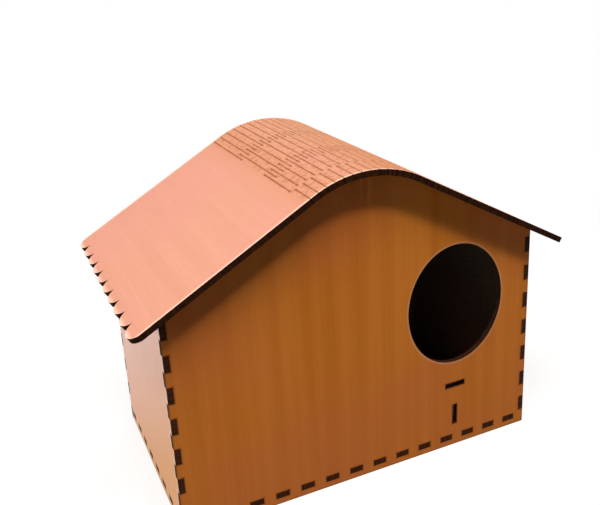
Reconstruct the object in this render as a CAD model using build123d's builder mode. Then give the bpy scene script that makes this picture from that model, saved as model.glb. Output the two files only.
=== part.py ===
# A nest box for a small parrot, cut from thin veneered board: two gable ends, two side walls and
# a floor, all locked by tabs, under one roof sheet that is bent over a ridge of staggered slits.
# X runs across the front, Y from front to back, and Z up from the bottom edges of the walls.

import os
from math import cos, degrees, radians, sin, sqrt

from build123d import *

os.makedirs("parts", exist_ok=True)

# Board
board = 3.0  # thickness of every piece
play = 0.1  # clearance in each slot, notch and seat
overrun = 2.0  # how far a cut runs past a face

# Box
box_width = 200.0
box_depth = 114.4
wall_height = 116.9  # side walls, bottom edge to top edge
floor_lift = 3.5  # underside of the floor above the bottom edges

# Fingers up the corners, and tabs round the floor
finger_pitch = 16.15
finger_length = 8.2
finger_start = 8.25  # bottom edge to the lowest finger of a side wall
tab_pitch = 13.85
tab_length = 7.0
corner_land = 1.5  # least board between a corner joint and the first floor slot

# Entrance, and the two slots under it that take a perch
entrance_width = 57.1
entrance_height = 66.8
entrance_inset = 46.3  # centre of the entrance from the right edge
entrance_drop = 31.8  # centre of the entrance below the top of the side walls
perch_slot = 12.0
perch_shares = (0.28, 0.69)  # upright and level slot, of the way from floor to entrance

# Roof
roof_slope = radians(29.2)
ridge_radius = 56.2  # outer face of the bend
eave_overhang = 15.8  # past the side walls, measured level
sheet_shift = 1.2  # to the right, as the sheet was fixed a little off the middle
gable_overhang = 9.0  # past the gable ends
lobe_width = 13.0  # about, for a whole number of lobes along each eave
lobe_round_share = 1.03  # lobe radius, of half the lobe pitch

# Slits that let the roof bend
hinge_width = 69.0  # across the ridge, between the outermost rows
slit_row_pitch = 2.28
slit_width = 0.3
back_row_shares = ((0.14, 0.38), (0.63, 1))  # each slit from and to, of the roof depth
front_row_shares = ((0, 0.12), (0.305, 0.69))

# Values that several pieces share
half_width = box_width / 2
half_depth = box_depth / 2
roof_depth = box_depth + 2 * gable_overhang
floor_middle = floor_lift + board / 2
slot_length = tab_length + 2 * play
slot_height = board + 2 * play
front_room = box_width - 2 * (board + corner_land) - tab_length
side_room = box_depth - 2 * (board + corner_land) - tab_length
front_tabs = 1 + int(front_room // tab_pitch)
side_tabs = 1 + int(side_room // tab_pitch)
finger_room = wall_height - finger_start - finger_length
fingers = 1 + int(finger_room // finger_pitch)
finger_heights = [finger_start + finger_length / 2 + n * finger_pitch for n in range(fingers)]

# The bend of the roof: its underside clears the top outer edges of the side walls
under_radius = ridge_radius - board
seat_radius = under_radius - play
ridge_centre = wall_height + play - (under_radius - half_width * sin(roof_slope)) / cos(roof_slope)


def bend_point(radius, turn):
    return (radius * sin(turn), ridge_centre + radius * cos(turn))


def slope_point(radius, x):
    # Where the straight slope that is tangent to this radius passes the place x
    return (x, ridge_centre + (radius - abs(x) * sin(roof_slope)) / cos(roof_slope))


# Outline of both gable ends, with the notches for the side walls and the slots for the floor
with BuildSketch() as gable:
    with BuildLine():
        Polyline(
            bend_point(seat_radius, roof_slope),
            slope_point(seat_radius, half_width),
            (half_width, 0),
            (-half_width, 0),
            slope_point(seat_radius, -half_width),
            bend_point(seat_radius, -roof_slope),
        )
        ThreePointArc(
            bend_point(seat_radius, -roof_slope),
            bend_point(seat_radius, 0),
            bend_point(seat_radius, roof_slope),
        )
    make_face()
    with Locations(*[(side * half_width, z) for side in (-1, 1) for z in finger_heights]):
        Rectangle(2 * (board + play), finger_length + 2 * play, mode=Mode.SUBTRACT)
    with Locations((0, floor_middle)):
        with GridLocations(tab_pitch, tab_pitch, front_tabs, 1):
            Rectangle(slot_length, slot_height, mode=Mode.SUBTRACT)

# Front gable, with the entrance and the perch slots below it
entrance_x = half_width - entrance_inset
entrance_z = wall_height - entrance_drop
perch_base = floor_lift + board
perch_room = entrance_z - entrance_height / 2 - perch_base
upright_z, level_z = [perch_base + share * perch_room for share in perch_shares]
with BuildPart() as front_panel:
    with BuildSketch(Plane.XZ.offset(half_depth)):
        add(gable.sketch)
        with Locations((entrance_x, entrance_z)):
            Ellipse(entrance_width / 2, entrance_height / 2, mode=Mode.SUBTRACT)
        with Locations((entrance_x, upright_z)):
            Rectangle(board, perch_slot, mode=Mode.SUBTRACT)
        with Locations((entrance_x, level_z)):
            Rectangle(perch_slot, board, mode=Mode.SUBTRACT)
    extrude(amount=-board)
front_panel.part.label = "front_panel"
export_step(front_panel.part, "parts/front_panel.step")

# Back gable
with BuildPart() as back_panel:
    with BuildSketch(Plane.XZ.offset(board - half_depth)):
        add(gable.sketch)
    extrude(amount=-board)
back_panel.part.label = "back_panel"
export_step(back_panel.part, "parts/back_panel.step")

# Outline of both side walls: fingers reach the outer faces of the gables
with BuildSketch() as side:
    Rectangle(box_depth - 2 * (board + play), wall_height, align=(Align.CENTER, Align.MIN))
    with Locations(*[(0, z) for z in finger_heights]):
        Rectangle(box_depth, finger_length)
    with Locations((0, floor_middle)):
        with GridLocations(tab_pitch, tab_pitch, side_tabs, 1):
            Rectangle(slot_length, slot_height, mode=Mode.SUBTRACT)

with BuildPart() as left_wall:
    with BuildSketch(Plane.YZ.offset(-half_width)):
        add(side.sketch)
    extrude(amount=board)
left_wall.part.label = "left_wall"
export_step(left_wall.part, "parts/left_wall.step")

with BuildPart() as right_wall:
    with BuildSketch(Plane.YZ.offset(half_width - board)):
        add(side.sketch)
    extrude(amount=board)
right_wall.part.label = "right_wall"
export_step(right_wall.part, "parts/right_wall.step")

# Floor: its tabs end flush with the outer faces of all four walls
with BuildPart() as floor_panel:
    with BuildSketch(Plane.XY.offset(floor_lift)):
        Rectangle(box_width - 2 * (board + play), box_depth - 2 * (board + play))
        with GridLocations(tab_pitch, tab_pitch, front_tabs, 1):
            Rectangle(tab_length, box_depth)
        with GridLocations(tab_pitch, tab_pitch, 1, side_tabs):
            Rectangle(box_width, tab_length)
    extrude(amount=board)
floor_panel.part.label = "floor_panel"
export_step(floor_panel.part, "parts/floor_panel.step")

# Roof sheet: straight slopes tangent to the bend, square-cut at the eaves
lobes = round(roof_depth / lobe_width)
lobe_pitch = roof_depth / lobes
lobe_radius = lobe_round_share * lobe_pitch / 2
half_rows = int(hinge_width / 2 // slit_row_pitch)


def eave_points(hand):
    # Upper and lower corner of the sheet's edge, at the left eave (-1) or the right one (1)
    x, z = slope_point(ridge_radius, hand * (half_width + eave_overhang) + sheet_shift)
    return (x, z), (x - hand * board * sin(roof_slope), z - board * cos(roof_slope))


def slit_place(row, share_from, share_to):
    # Middle of a slit on the outer face, square to the sheet there
    run = sheet_shift + row * slit_row_pitch
    turn = max(-roof_slope, min(roof_slope, run / ridge_radius))
    straight = run - turn * ridge_radius
    x, z = bend_point(ridge_radius, turn)
    x += straight * cos(turn)
    z -= straight * sin(turn)
    y = ((share_from + share_to) / 2 - 1 / 2) * roof_depth
    return Location((x, y, z), (0, degrees(turn), 0))


with BuildPart() as roof_sheet:
    with BuildSketch(Plane.XZ):
        with BuildLine():
            Polyline(
                bend_point(ridge_radius, roof_slope),
                *eave_points(1),
                bend_point(under_radius, roof_slope),
            )
            ThreePointArc(
                bend_point(under_radius, roof_slope),
                bend_point(under_radius, 0),
                bend_point(under_radius, -roof_slope),
            )
            Polyline(
                bend_point(under_radius, -roof_slope),
                *reversed(eave_points(-1)),
                bend_point(ridge_radius, -roof_slope),
            )
            ThreePointArc(
                bend_point(ridge_radius, -roof_slope),
                bend_point(ridge_radius, 0),
                bend_point(ridge_radius, roof_slope),
            )
        make_face()
    extrude(amount=roof_depth / 2, both=True)

    # Rounded lobes along each eave: the strip outside the lobes is cut away
    for hand in (-1, 1):
        eave_x, eave_z = eave_points(hand)[0]
        eave = Plane(
            origin=(eave_x, 0, eave_z),
            x_dir=(hand * cos(roof_slope), 0, -sin(roof_slope)),
            z_dir=(hand * sin(roof_slope), 0, cos(roof_slope)),
        )
        with BuildSketch(eave):
            with Locations((-lobe_radius, 0)):
                Rectangle(
                    lobe_radius + overrun,
                    roof_depth + 2 * overrun,
                    align=(Align.MIN, Align.CENTER),
                )
                with GridLocations(lobe_pitch, lobe_pitch, 1, lobes):
                    Circle(lobe_radius, mode=Mode.SUBTRACT)
        extrude(amount=board + overrun, both=True, mode=Mode.SUBTRACT)

    # Rows of slits across the ridge, open at the back and at the front by turns, so that they lap
    for shares, first in ((back_row_shares, 0), (front_row_shares, 1)):
        rows = range(first - half_rows, half_rows + 1, 2)
        for share_from, share_to in shares:
            with Locations(*[slit_place(row, share_from, share_to) for row in rows]):
                Box(
                    slit_width,
                    (share_to - share_from) * roof_depth,
                    2 * (board + overrun),
                    mode=Mode.SUBTRACT,
                )
roof_sheet.part.label = "roof_sheet"
export_step(roof_sheet.part, "parts/roof_sheet.step")
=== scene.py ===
import math
from functools import partial

import bmesh
import bpy
from mathutils import Matrix, Vector


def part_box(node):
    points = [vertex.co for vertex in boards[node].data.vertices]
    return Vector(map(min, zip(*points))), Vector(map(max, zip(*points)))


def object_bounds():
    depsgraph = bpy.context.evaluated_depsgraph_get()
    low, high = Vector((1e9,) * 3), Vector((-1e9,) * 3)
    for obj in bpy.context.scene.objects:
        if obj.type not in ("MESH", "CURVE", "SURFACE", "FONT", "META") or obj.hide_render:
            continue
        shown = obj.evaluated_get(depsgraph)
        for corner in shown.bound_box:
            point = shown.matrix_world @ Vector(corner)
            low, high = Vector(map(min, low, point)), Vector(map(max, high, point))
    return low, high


# Gabled nest box of thin veneered board. Its boards keep the frame's shapes and get their finishes here.

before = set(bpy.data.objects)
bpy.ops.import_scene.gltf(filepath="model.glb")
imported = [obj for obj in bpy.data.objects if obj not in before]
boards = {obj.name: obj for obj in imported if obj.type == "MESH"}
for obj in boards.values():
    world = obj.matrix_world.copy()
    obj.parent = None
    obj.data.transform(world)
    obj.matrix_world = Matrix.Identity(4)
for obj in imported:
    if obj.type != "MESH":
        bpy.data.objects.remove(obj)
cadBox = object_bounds()
scene = bpy.context.scene
mm = 0.001
print("frame loaded:", ", ".join(sorted(boards)))


def linear(hexColour):  # sRGB hex to the linear colour that shaders take
    parts = [int(hexColour[i:i + 2], 16) / 255 for i in (1, 3, 5)]
    return tuple(c / 12.92 if c <= 0.04045 else ((c + 0.055) / 1.055) ** 2.4 for c in parts) + (1.0,)


# Sockets of the Mix node, which go by number because their names repeat
mixBy, valueFrom, valueTo, colourFrom, colourTo, colourOut = 0, 2, 3, 6, 7, 2


def addNode(tree, kind, inputs=(), give=0, **settings):
    # Inputs, by number or name, take a value or a link, and one output is handed back
    node = tree.nodes.new("ShaderNode" + kind)
    for key, value in settings.items():
        setattr(node, key, value)
    for key, value in inputs.items() if isinstance(inputs, dict) else enumerate(inputs):
        if isinstance(value, bpy.types.NodeSocket):
            tree.links.new(value, node.inputs[key])
        else:
            node.inputs[key].default_value = value
    return node.outputs[give] if node.outputs else node


# Camera, at the photograph's viewing angle
cameraView = {
    "eye": (-0.158225, -0.362000, 0.265999),  # metres, in the frame of the part
    "forward": (0.378786, 0.866645, -0.324726),
    "right": (0.908421, -0.415229, -0.048532),
    "shift": (-0.01924, -0.07186),  # the picture is a cut-out of a larger one
    "focalPixels": 778.896,
    "pictureWidth": 600,
    "sensor": 36,
    "nearest": 0.01,
}
forward = Vector(cameraView["forward"]).normalized()
right = Vector(cameraView["right"]).normalized()
up = right.cross(forward).normalized()
camera = bpy.data.cameras.new("photoCamera")
camera.sensor_fit = "HORIZONTAL"
camera.sensor_width = cameraView["sensor"]
camera.lens = cameraView["focalPixels"] / cameraView["pictureWidth"] * cameraView["sensor"]
camera.shift_x, camera.shift_y = cameraView["shift"]
camera.clip_start = cameraView["nearest"]
cameraObject = bpy.data.objects.new("photoCamera", camera)
turned = Matrix((right, up, -forward)).transposed().to_4x4()
cameraObject.matrix_world = Matrix.Translation(cameraView["eye"]) @ turned
scene.collection.objects.link(cameraObject)
scene.camera = cameraObject
print("camera set, lens", round(camera.lens, 2), "mm")


# Every board is hardboard faced with lacquered beech veneer and cut by laser: a satin face with faint
# straight grain, a bare reverse, and edges that the cut has charred. Sizes in these dictionaries are in mm.
# A span is the part of a noise's range that is drawn out to a full change.
boardFinish = {
    "streakShare": 0.02,  # how much the streaks are squeezed along the grain
    "fleckShare": 0.16,
    "broadSize": 8.0,
    "broadDetail": 2.0,
    "broadSpan": (0.32, 0.68),
    "broadAmount": 1.0,
    "driftSize": 70.0,
    "driftDetail": 1.0,
    "driftSpan": (0.35, 0.65),
    "driftAmount": 0.5,
    "fineSize": 1.0,  # the real lines are near 0.3 apart, and are drawn this coarse to show
    "fineDetail": 4.0,
    "fineSpan": (0.35, 0.70),
    "fineAmount": 0.10,
    "fleckSize": 0.7,
    "fleckDetail": 1.0,
    "fleckSpan": (0.60, 0.74),
    "fleckAmount": 0.10,
    "striation": 1.2,  # the real marks are near 0.2 apart, and are drawn this coarse to show
    "striationShare": 0.1,
    "striationDetail": 3.0,
    "charSpan": (0.35, 0.70),
    "charDark": "#2C1408",
    "charBrown": "#4C260E",
    "fibre": 1.6,
    "fibreDetail": 5.0,
    "fibreSpan": (0.3, 0.7),
    "reverseDark": "#A39484",
    "reverseLight": "#BBAB99",
    "facingLimit": 0.6,  # least share of a direction that counts as facing that way
    "satinSpan": (0.3, 0.7),
    "roughLow": 0.42,
    "roughHigh": 0.54,
    "roughEdge": 0.90,
    "bump": 0.25,
    "bumpDepth": 0.06,
    "specular": 0.10,
    "lacquerIndex": 1.5,
    "fringe": "#5E3212",
    "fringeWidth": 0.9,  # the beam browns about 0.3 of the face, drawn this wide to show
    "fringeAmount": 0.6,
    "tabPitch": 13.85,
    "fingerPitch": 16.15,
    "firstFinger": 12.35,  # middle of the lowest one
    "fingerHalf": 4.2,
    "slotHalf": 3.6,
    "slotMiddle": 5.0,
    "cutHalf": 1.6,  # half the height of a slot for a board's thickness
    "notchDepth": 3.1,
}


def newMaterial(name):
    material = bpy.data.materials.new(name)
    material.use_nodes = True
    material.node_tree.nodes.clear()
    return material, partial(addNode, material.node_tree)


def placeAndFacing(add):  # where a point is, in mm, and which way the surface faces there
    place = add("VectorMath", {0: add("TexCoord", give="Object"), "Scale": 1 / mm}, operation="SCALE")
    facing = add("NewGeometry", give="Normal")
    return add("SeparateXYZ", [place]).node.outputs, add("SeparateXYZ", [facing]).node.outputs


def offMiddle(add, place, middle):  # distance to either side of a middle
    return add("Math", [add("Math", [place, middle], operation="SUBTRACT")], operation="ABSOLUTE")


def offNextMiddle(add, place, pitch, first):  # distance from the nearest of a row of middles
    lag = add("Math", [place, first - pitch / 2], operation="SUBTRACT")
    lag = add("Math", [lag, pitch], operation="FLOORED_MODULO")
    return offMiddle(add, lag, pitch / 2)


def inFromEdge(add, place, half):  # distance in from the nearer of two edges, this far from the middle
    return add("Math", [half, add("Math", [place], operation="ABSOLUTE")], operation="SUBTRACT")


def fromCut(add, level, halfLevel, upright, halfUpright):
    # How far a point of the face is from a square-cut hole, by its distances from the hole's middle
    level = add("Math", [level, halfLevel], operation="SUBTRACT")
    upright = add("Math", [upright, halfUpright], operation="SUBTRACT")
    return add("Math", [level, upright], operation="MAXIMUM")


def veneerFace(add, along, across, leaf, finish):
    # Places squeezed along the grain, so that noise draws long streaks and short flecks, leaf by leaf
    squeezed = add("Math", [along, finish["streakShare"]], operation="MULTIPLY")
    streaked = add("CombineXYZ", [across, squeezed, leaf])
    squeezed = add("Math", [along, finish["fleckShare"]], operation="MULTIPLY")
    dashed = add("CombineXYZ", [across, squeezed, leaf])
    level = add("CombineXYZ", [across, along, leaf])
    face = linear(finish["dark"])
    noises = {}
    for name, place, tint in (
        ("broad", streaked, "light"), ("drift", level, "drift"),
        ("fine", streaked, "line"), ("fleck", dashed, "line"),
    ):
        scale, detail = 1 / finish[name + "Size"], finish[name + "Detail"]
        noises[name] = add("TexNoise", {"Vector": place, "Scale": scale, "Detail": detail})
        share = add("MapRange", [noises[name], *finish[name + "Span"], 0.0, finish[name + "Amount"]])
        colours = {mixBy: share, colourFrom: face, colourTo: linear(finish[tint])}
        face = add("Mix", colours, colourOut, data_type="RGBA")
    return face, noises["fine"]


def alongCuts(add, face, cuts, finish, mark):
    # Colours the face near its cuts: mark is the scorched fringe, or the painted highlight of a pale rim or
    # tip
    nearest = cuts[0]
    for cut in cuts[1:]:
        nearest = add("Math", [nearest, cut], operation="MINIMUM")
    share = add("MapRange", [nearest, 0.0, finish[mark + "Width"], finish[mark + "Amount"], 0.0])
    colours = {mixBy: share, colourFrom: face, colourTo: linear(finish[mark])}
    return add("Mix", colours, colourOut, data_type="RGBA")


def charredEdge(add, along, across, depth, finish):
    # Striped through the thickness, as the beam left it
    shallow = add("Math", [depth, finish["striationShare"]], operation="MULTIPLY")
    place = add("CombineXYZ", [across, along, shallow])
    scale, detail = 1 / finish["striation"], finish["striationDetail"]
    striped = add("TexNoise", {"Vector": place, "Scale": scale, "Detail": detail})
    brown = add("MapRange", [striped, *finish["charSpan"]])
    colours = {mixBy: brown, colourFrom: linear(finish["charDark"]), colourTo: linear(finish["charBrown"])}
    return add("Mix", colours, colourOut, data_type="RGBA"), striped


def bareReverse(add, along, across, finish):
    # Short mottled fibres with no grain
    level = add("CombineXYZ", [across, along])
    scale, detail = 1 / finish["fibre"], finish["fibreDetail"]
    fibre = add("TexNoise", {"Vector": level, "Scale": scale, "Detail": detail})
    fibre = add("MapRange", [fibre, *finish["fibreSpan"]])
    dark, light = linear(finish["reverseDark"]), linear(finish["reverseLight"])
    return add("Mix", {mixBy: fibre, colourFrom: dark, colourTo: light}, colourOut, data_type="RGBA")


def joinBoard(add, outward, face, grain, edge, striped, reverse, finish):
    # Outward is 1 on the veneer, -1 on the reverse and near 0 on a cut edge
    isFace = add("Math", [outward, finish["facingLimit"]], operation="GREATER_THAN")
    isReverse = add("Math", [outward, -finish["facingLimit"]], operation="LESS_THAN")
    colours = {mixBy: isFace, colourFrom: edge, colourTo: face}
    colour = add("Mix", colours, colourOut, data_type="RGBA")
    colours = {mixBy: isReverse, colourFrom: colour, colourTo: reverse}
    colour = add("Mix", colours, colourOut, data_type="RGBA")
    satin = add("MapRange", [grain, *finish["satinSpan"], finish["roughLow"], finish["roughHigh"]])
    roughness = add("Mix", {mixBy: isFace, valueFrom: finish["roughEdge"], valueTo: satin})
    relief = add("Mix", {mixBy: isFace, valueFrom: striped, valueTo: grain})
    bumpDepth = finish["bumpDepth"] * mm
    normal = add("Bump", {"Height": relief, "Strength": finish["bump"], "Distance": bumpDepth})
    shader = add("BsdfPrincipled", {
        "Base Color": colour, "Roughness": roughness, "Normal": normal,
        "Specular IOR Level": finish["specular"], "IOR": finish["lacquerIndex"],
    })
    add("OutputMaterial", [shader])


# Gable ends: deep orange with the grain upright, and a pale painted highlight round the entrance
gableFinish = dict(
    boardFinish, dark="#C97422", light="#D78230", drift="#D07140", line="#A25A20", highlightRim="#DDB08A",
    entranceX=53.7, entranceZ=85.1, entranceWidth=57.1, entranceHeight=66.8, highlightRimWidth=1.1, highlightRimAmount=0.4,
    charDark="#1A0B05", charBrown="#33180A", perchHalf=6.0, perchUpright=19.2, perchLevel=37.7, boardHalf=1.5,
)


def gableBoard(name, finish):
    material, add = newMaterial(name)
    (x, y, z), facing = placeAndFacing(add)
    outward = add("Math", [facing["Y"], add("Math", [y], operation="SIGN")], operation="MULTIPLY")
    depth = inFromEdge(add, y, -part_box("front_panel")[0].y / mm)
    face, grain = veneerFace(add, z, x, y, finish)

    # Distance from the entrance's middle, with its height drawn in to its width, only on the front
    sideways = add("Math", [x, finish["entranceX"]], operation="SUBTRACT")
    upright = add("Math", [z, finish["entranceZ"]], operation="SUBTRACT")
    roundness = finish["entranceWidth"] / finish["entranceHeight"]
    upright = add("Math", [upright, roundness], operation="MULTIPLY")
    away = add("VectorMath", [add("CombineXYZ", [sideways, upright])], "Value", operation="LENGTH")
    # The pale ring round the entrance is a painted highlight, on the front only
    highlightRimEnd = finish["entranceWidth"] / 2 + finish["highlightRimWidth"]
    highlightRim = add("MapRange", [away, highlightRimEnd, highlightRimEnd - finish["highlightRimWidth"] / 2, 0.0, finish["highlightRimAmount"]])
    highlightRim = add("Math", [highlightRim, add("Math", [y, 0.0], operation="LESS_THAN")], operation="MULTIPLY")
    colours = {mixBy: highlightRim, colourFrom: face, colourTo: linear(finish["highlightRim"])}
    face = add("Mix", colours, colourOut, data_type="RGBA")

    # The floor's slots, the notches of both corners and the outer edges, and on the front the perch slots
    halfWidth = -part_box("front_panel")[0].x / mm
    offTab = offNextMiddle(add, x, finish["tabPitch"], finish["tabPitch"] / 2)
    offSlot = offMiddle(add, z, finish["slotMiddle"])
    offFinger = offNextMiddle(add, z, finish["fingerPitch"], finish["firstFinger"])
    fromSide = inFromEdge(add, x, halfWidth)
    behind = add("Math", [add("Math", [y, 0.0], operation="GREATER_THAN"), halfWidth], operation="MULTIPLY")
    offPerch = add("Math", [add("Math", [sideways], operation="ABSOLUTE"), behind], operation="ADD")
    offUpright = offMiddle(add, z, finish["perchUpright"])
    offLevel = offMiddle(add, z, finish["perchLevel"])
    face = alongCuts(add, face, [
        z, fromSide,
        fromCut(add, offTab, finish["slotHalf"], offSlot, finish["cutHalf"]),
        fromCut(add, fromSide, finish["notchDepth"], offFinger, finish["fingerHalf"]),
        fromCut(add, offPerch, finish["boardHalf"], offUpright, finish["perchHalf"]),
        fromCut(add, offPerch, finish["perchHalf"], offLevel, finish["boardHalf"]),
    ], finish, "fringe")
    edge, striped = charredEdge(add, z, x, depth, finish)
    joinBoard(add, outward, face, grain, edge, striped, bareReverse(add, z, x, finish), finish)
    return material


# Side walls: pale peach with the grain upright and more gloss; the pale tone is a painted reflection of white
# surroundings, which gives way to a warmer foot towards the bottom and the front
sideFinish = dict(
    boardFinish, dark="#E9B6A3", light="#F1C0AF", drift="#ECB6A8", line="#C08A6C", fleckAmount=0.12,
    specular=0.14, roughLow=0.32, roughHigh=0.42, highlightRim="#FBE6DA", highlightRimWidth=1.4, highlightRimAmount=0.6,
    footBelowSheen="#D48A38", sheenFrom=4.0, sheenTo=88.0, sheenLean=0.55, sheenStreak=70.0,
)


def sideBoard(name, finish):
    material, add = newMaterial(name)
    (x, y, z), facing = placeAndFacing(add)
    outward = add("Math", [facing["X"], add("Math", [x], operation="SIGN")], operation="MULTIPLY")
    depth = inFromEdge(add, x, -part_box("left_wall")[0].x / mm)
    face, grain = veneerFace(add, z, y, x, finish)

    # Painted reflection: the wall stays pale where it would mirror white surroundings and keeps a warm foot
    # towards the bottom and the front, which climbs a little higher in some streaks than in others
    leaning = add("Math", [y, finish["sheenLean"], z], operation="MULTIPLY_ADD")
    streak = add("MapRange", [grain, 0.0, 1.0, -finish["sheenStreak"] / 2, finish["sheenStreak"] / 2])
    leaning = add("Math", [leaning, streak], operation="ADD")
    footBelowSheen = add("MapRange", [leaning, finish["sheenFrom"], finish["sheenTo"], 1.0, 0.0])
    colours = {mixBy: footBelowSheen, colourFrom: face, colourTo: linear(finish["footBelowSheen"])}
    face = add("Mix", colours, colourOut, data_type="RGBA")

    # The floor's slots and the bottom edge are scorched, and the ends with their fingers get a pale painted
    # highlight
    offTab = offNextMiddle(add, y, finish["tabPitch"], finish["tabPitch"] / 2)
    offSlot = offMiddle(add, z, finish["slotMiddle"])
    slots = fromCut(add, offTab, finish["slotHalf"], offSlot, finish["cutHalf"])
    halfPitch = finish["fingerPitch"] / 2
    offGap = offNextMiddle(add, z, finish["fingerPitch"], finish["firstFinger"] + halfPitch)
    fromEnd = inFromEdge(add, y, -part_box("left_wall")[0].y / mm)
    gaps = fromCut(add, fromEnd, finish["notchDepth"], offGap, halfPitch - finish["fingerHalf"])
    face = alongCuts(add, face, [fromEnd, gaps], finish, "highlightRim")
    face = alongCuts(add, face, [z, slots], finish, "fringe")
    edge, striped = charredEdge(add, z, y, depth, finish)
    joinBoard(add, outward, face, grain, edge, striped, bareReverse(add, z, y, finish), finish)
    return material


# Floor: veneer below, and above a bare board painted darker than the other reverses, as painted shade for the
# dark inside behind the perch slots
floorFinish = dict(
    boardFinish, dark="#C87524", light="#D48232", drift="#CE7340", line="#A05A20",
    reverseDark="#663C28", reverseLight="#7A4A34",
)


def floorBoard(name, finish):
    material, add = newMaterial(name)
    (x, y, z), facing = placeAndFacing(add)
    outward = add("Math", [facing["Z"], -1.0], operation="MULTIPLY")
    depth = add("Math", [z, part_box("floor_panel")[0].z / mm], operation="SUBTRACT")
    face, grain = veneerFace(add, x, y, 0.0, finish)
    edge, striped = charredEdge(add, x, y, depth, finish)
    joinBoard(add, outward, face, grain, edge, striped, bareReverse(add, x, y, finish), finish)
    return material


# Roof sheet: dull pink with the grain from front to back, scorched along the slits of the ridge, darkened by
# painted shade over the ridge to the right, and with pale painted highlights along its edges
roofFinish = dict(
    boardFinish, dark="#BF8973", light="#C58F78", drift="#C5897B", line="#A46A54", driftAmount=0.7,
    charDark="#22120B", charBrown="#402415", roughLow=0.56, roughHigh=0.68, specular=0.02,
    highlightRim="#E6C3B0", highlightRimWidth=1.8, highlightRimAmount=0.85, highlightTip="#E6C3B0", highlightTipWidth=2.4, highlightTipAmount=0.9,
    ridgeRadius=56.2, slope=math.radians(29.2), rowPitch=2.28, rows=15,
    backRowShares=((0.14, 0.38), (0.63, 1)), frontRowShares=((0, 0.12), (0.305, 0.69)),
    slitWall="#D49A70", wallDepth=1.5,
    hazeAndShade="#B07040", hazeAmount=0.28, farHazeAndShade=0.90, hazeTurn=12.0, hazeFade=12.0,
    smoke=2.8, smokeDetail=2.0, smokeSpan=(0.48, 0.62), smokeAmount=0.5,
    scorch="#9A6038", scorchHalf=0.9, scorchCore=0.3, scorchLeast=0.3, scorchMost=0.8,
    patch=6.0, patchDetail=1.0, patchSpan=(0.36, 0.62),
    pierce="#6A3A1E", pierceWidth=1.6, pierceShare=0.4, pierceAmount=0.9,
)


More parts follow.
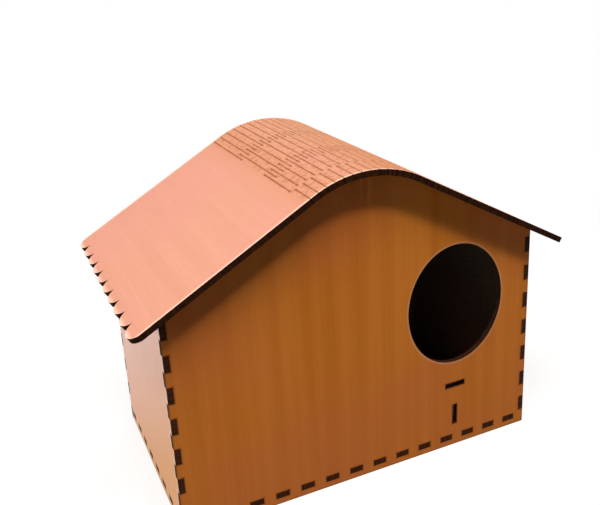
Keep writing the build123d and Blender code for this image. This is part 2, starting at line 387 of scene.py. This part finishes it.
def roofBoard(name, finish):
    material, add = newMaterial(name)
    (x, y, z), facing = placeAndFacing(add)
    low, high = (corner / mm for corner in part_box("roof_sheet"))
    radius, slope = finish["ridgeRadius"], finish["slope"]
    # The sheet is unrolled round the axis of its bend: across runs from the ridge down to the eaves
    rise = add("Math", [z, high.z - radius], operation="SUBTRACT")
    turn = add("Clamp", [add("Math", [x, rise], operation="ARCTAN2"), -slope, slope])
    sine = add("Math", [turn], operation="SINE")
    cosine = add("Math", [turn], operation="COSINE")
    upward = add("Math", [facing["Z"], cosine], operation="MULTIPLY")
    outward = add("Math", [facing["X"], sine, upward], operation="MULTIPLY_ADD")
    reach = add("Math", [rise, cosine], operation="MULTIPLY")
    reach = add("Math", [x, sine, reach], operation="MULTIPLY_ADD")
    depth = add("Math", [radius, reach], operation="SUBTRACT")
    slide = add("Math", [rise, add("Math", [sine, -1.0], operation="MULTIPLY")], operation="MULTIPLY")
    slide = add("Math", [x, cosine, slide], operation="MULTIPLY_ADD")
    across = add("Math", [turn, radius, slide], operation="MULTIPLY_ADD")
    middleX = (low.x + high.x) / 2  # the sheet sits a little off the ridge, and its slits with it
    onSheet = add("Math", [across, middleX], operation="SUBTRACT")
    face, grain = veneerFace(add, y, across, 0.0, finish)

    # A brown haze of the cutting lies over the band of slits; it grows over the ridge to the right as painted
    # shade, for the side that turns away from the light
    rowPitch, turning = finish["rowPitch"], finish["hazeTurn"]
    bandEnd = finish["rows"] * rowPitch
    fromMiddle = add("Math", [onSheet], operation="ABSOLUTE")
    hazeAndShade = add("MapRange", [onSheet, -turning, turning, finish["hazeAmount"], finish["farHazeAndShade"]])
    fade = add("MapRange", [fromMiddle, bandEnd, bandEnd + finish["hazeFade"], 1.0, 0.0])
    hazeAndShade = add("Math", [hazeAndShade, fade], operation="MULTIPLY")
    colours = {mixBy: hazeAndShade, colourFrom: face, colourTo: linear(finish["hazeAndShade"])}
    face = add("Mix", colours, colourOut, data_type="RGBA")

    # Smoke has left small blots between the slits
    level = add("CombineXYZ", [across, y])
    scale, detail = 1 / finish["smoke"], finish["smokeDetail"]
    smoke = add("TexNoise", {"Vector": level, "Scale": scale, "Detail": detail})
    smoke = add("MapRange", [smoke, *finish["smokeSpan"], 0.0, finish["smokeAmount"]])
    within = add("MapRange", [fromMiddle, bandEnd - rowPitch, bandEnd + rowPitch, 1.0, 0.0])
    smoke = add("Math", [smoke, within], operation="MULTIPLY")
    colours = {mixBy: smoke, colourFrom: face, colourTo: linear(finish["scorch"])}
    face = add("Mix", colours, colourOut, data_type="RGBA")

    # Each slit has a scorched line along it, and a darker spot where the beam went in or out
    halfRow = 0.5  # rows are counted in whole numbers
    row = add("Math", [add("Math", [onSheet, rowPitch], operation="DIVIDE")], operation="ROUND")
    offRow = add("Math", [row, -rowPitch, onSheet], operation="MULTIPLY_ADD")
    offRow = add("Math", [offRow], operation="ABSOLUTE")
    inBand = add("Math", [row, 0.0, finish["rows"] + halfRow], operation="COMPARE")
    parity = add("Math", [row, finish["rows"]], operation="SUBTRACT")
    parity = add("Math", [parity, 2.0], operation="FLOORED_MODULO")
    scale, detail = 1 / finish["patch"], finish["patchDetail"]
    patchy = add("TexNoise", {"Vector": level, "Scale": scale, "Detail": detail})
    patchy = add("MapRange", [patchy, *finish["patchSpan"], finish["scorchLeast"], finish["scorchMost"]])
    line = add("MapRange", [offRow, finish["scorchHalf"], finish["scorchCore"]])
    line = add("Math", [line, patchy], operation="MULTIPLY")
    roofDepth = high.y - low.y
    for rowKind, shares in ((0.0, finish["backRowShares"]), (1.0, finish["frontRowShares"])):
        onRow = add("Math", [parity, rowKind, halfRow], operation="COMPARE")
        onRow = add("Math", [onRow, inBand], operation="MULTIPLY")
        for start, end in shares:
            halfLength = (end - start) / 2 * roofDepth
            along = offMiddle(add, y, low.y + (start + end) / 2 * roofDepth)
            inSlit = add("Math", [along, halfLength], operation="LESS_THAN")
            inSlit = add("Math", [onRow, inSlit], operation="MULTIPLY")
            burnt = add("Math", [line, inSlit], operation="MULTIPLY")
            colours = {mixBy: burnt, colourFrom: face, colourTo: linear(finish["scorch"])}
            face = add("Mix", colours, colourOut, data_type="RGBA")
            pastEnd = add("Math", [along, halfLength], operation="SUBTRACT")
            pastEnd = add("Math", [pastEnd, finish["pierceShare"]], operation="MULTIPLY")
            offEnd = add("CombineXYZ", [offRow, pastEnd])
            offEnd = add("VectorMath", [offEnd], "Value", operation="LENGTH")
            spot = add("MapRange", [offEnd, finish["pierceWidth"] / 2, 0.0, 0.0, finish["pierceAmount"]])
            spot = add("Math", [spot, onRow], operation="MULTIPLY")
            colours = {mixBy: spot, colourFrom: face, colourTo: linear(finish["pierce"])}
            face = add("Mix", colours, colourOut, data_type="RGBA")

    # Pale painted highlights along the front and back edges and the tips of the lobes
    onSpan = add("Math", [x, middleX], operation="SUBTRACT")
    fromTip = inFromEdge(add, onSpan, (high.x - low.x) / 2)
    fromEnd = inFromEdge(add, y, roofDepth / 2)
    face = alongCuts(add, face, [fromTip], finish, "highlightTip")
    face = alongCuts(add, face, [fromEnd], finish, "highlightRim")

    # The walls of the slits stay light near the face, away from the front and back edges
    edge, striped = charredEdge(add, y, across, depth, finish)
    endOn = add("Math", [facing["Y"]], operation="ABSOLUTE")
    endOn = add("Math", [endOn, finish["facingLimit"]], operation="GREATER_THAN")
    inWall = add("Math", [fromMiddle, bandEnd + rowPitch], operation="LESS_THAN")
    inWall = add("Math", [inWall, endOn], operation="SUBTRACT", use_clamp=True)
    nearFace = add("Math", [depth, finish["wallDepth"]], operation="LESS_THAN")
    inWall = add("Math", [inWall, nearFace], operation="MULTIPLY")
    inside = add("Math", [fromEnd, finish["wallDepth"]], operation="GREATER_THAN")
    inWall = add("Math", [inWall, inside], operation="MULTIPLY")
    colours = {mixBy: inWall, colourFrom: edge, colourTo: linear(finish["slitWall"])}
    edge = add("Mix", colours, colourOut, data_type="RGBA")
    joinBoard(add, outward, face, grain, edge, striped, bareReverse(add, y, across, finish), finish)
    return material


gableMaterial = gableBoard("beechVeneerOnHardboardGable", gableFinish)
sideMaterial = sideBoard("beechVeneerOnHardboardSide", sideFinish)
dressed = {
    "front_panel": gableMaterial,
    "back_panel": gableMaterial,
    "left_wall": sideMaterial,
    "right_wall": sideMaterial,
    "floor_panel": floorBoard("beechVeneerOnHardboardFloor", floorFinish),
    "roof_sheet": roofBoard("beechVeneerOnHardboardRoof", roofFinish),
}
for boardName, material in dressed.items():
    boards[boardName].material_slots[0].material = material
print("finishes on", len(dressed), "boards")


# Stage: a pale floor and white surroundings
stage = {
    "floorSize": 6.0,
    "floorDrop": 0.0002,
    "bounce": "#585858",
    "paper": "#F2F2F2",
    "whiteShare": 0.80,  # of the floor as it is seen near the box, the rest takes the shadow
    "shadowFrom": 0.22,  # metres from the middle, where the shadow's share begins to fade
    "shadowTo": 0.45,
    "ambient": 0.07,
    "white": 1.0,
}
floorMesh = bpy.data.meshes.new("studioFloor")
grid = bmesh.new()
bmesh.ops.create_grid(grid, x_segments=1, y_segments=1, size=stage["floorSize"])
bmesh.ops.translate(grid, verts=grid.verts, vec=(0, 0, -stage["floorDrop"]))
grid.to_mesh(floorMesh)
grid.free()
floorObject = bpy.data.objects.new("studioFloor", floorMesh)
scene.collection.objects.link(floorObject)


def seenByEye(add):  # 1 where the camera, a gloss or a clear piece looks at the stage
    path = add("LightPath").node.outputs
    seen = add("Math", [path["Is Camera Ray"], path["Is Glossy Ray"]], operation="MAXIMUM")
    return add("Math", [seen, path["Is Transmission Ray"]], operation="MAXIMUM")


# Matt paper: no gloss, white to the eye, and a dark bounce that leaves the walls their shading
paperMaterial, add = newMaterial("mattPaper")
bounce = add("BsdfDiffuse", {"Color": linear(stage["bounce"])})
paper = add("BsdfDiffuse", {"Color": linear(stage["paper"])})
white = add("Emission", {"Strength": stage["white"]})
away = add("VectorMath", [add("TexCoord", give="Object")], "Value", operation="LENGTH")
whiteShare = add("MapRange", [away, stage["shadowFrom"], stage["shadowTo"], stage["whiteShare"], 1.0])
shown = add("MixShader", [whiteShare, paper, white])
add("OutputMaterial", [add("MixShader", [seenByEye(add), bounce, shown])])
floorMesh.materials.append(paperMaterial)

room = bpy.data.worlds.new("whiteRoom")
room.use_nodes = True
room.node_tree.nodes.clear()
add = partial(addNode, room.node_tree)
strength = add("MapRange", [seenByEye(add), 0.0, 1.0, stage["ambient"], stage["white"]])
add("OutputWorld", [add("Background", {"Color": linear("#FFFFFF"), "Strength": strength})])
scene.world = room

lamps = {
    "keyLamp": {"at": (0.10, -0.64, 1.37), "size": 0.17, "power": 8.5, "colour": "#FFF6EC"},
    "softTop": {"at": (-0.32, -0.38, 1.28), "size": 0.50, "power": 15.6, "colour": "#FFF8F0"},
    "leftFill": {"at": (-1.40, -0.05, 0.20), "size": 0.90, "power": 15.1, "colour": "#FFFFFF"},
    "rightFill": {"at": (1.40, 0.05, 0.20), "size": 0.90, "power": 8.0, "colour": "#FFFFFF"},
    "backFill": {"at": (0.60, 1.30, 0.70), "size": 1.00, "power": 14.0, "colour": "#FFFFFF"},
}
boxMiddle = Vector((0, 0, (cadBox[0].z + cadBox[1].z) / 2))
for lampName, lamp in lamps.items():
    light = bpy.data.lights.new(lampName, "AREA")
    light.shape = "DISK"
    light.size = lamp["size"]
    light.energy = lamp["power"]
    light.color = linear(lamp["colour"])[:3]
    lampObject = bpy.data.objects.new(lampName, light)
    lampObject.location = lamp["at"]
    lampObject.rotation_euler = (boxMiddle - Vector(lamp["at"])).to_track_quat("-Z", "Y").to_euler()
    scene.collection.objects.link(lampObject)
scene.view_settings.view_transform = "Standard"
print("stage lit by", len(lamps), "lamps")
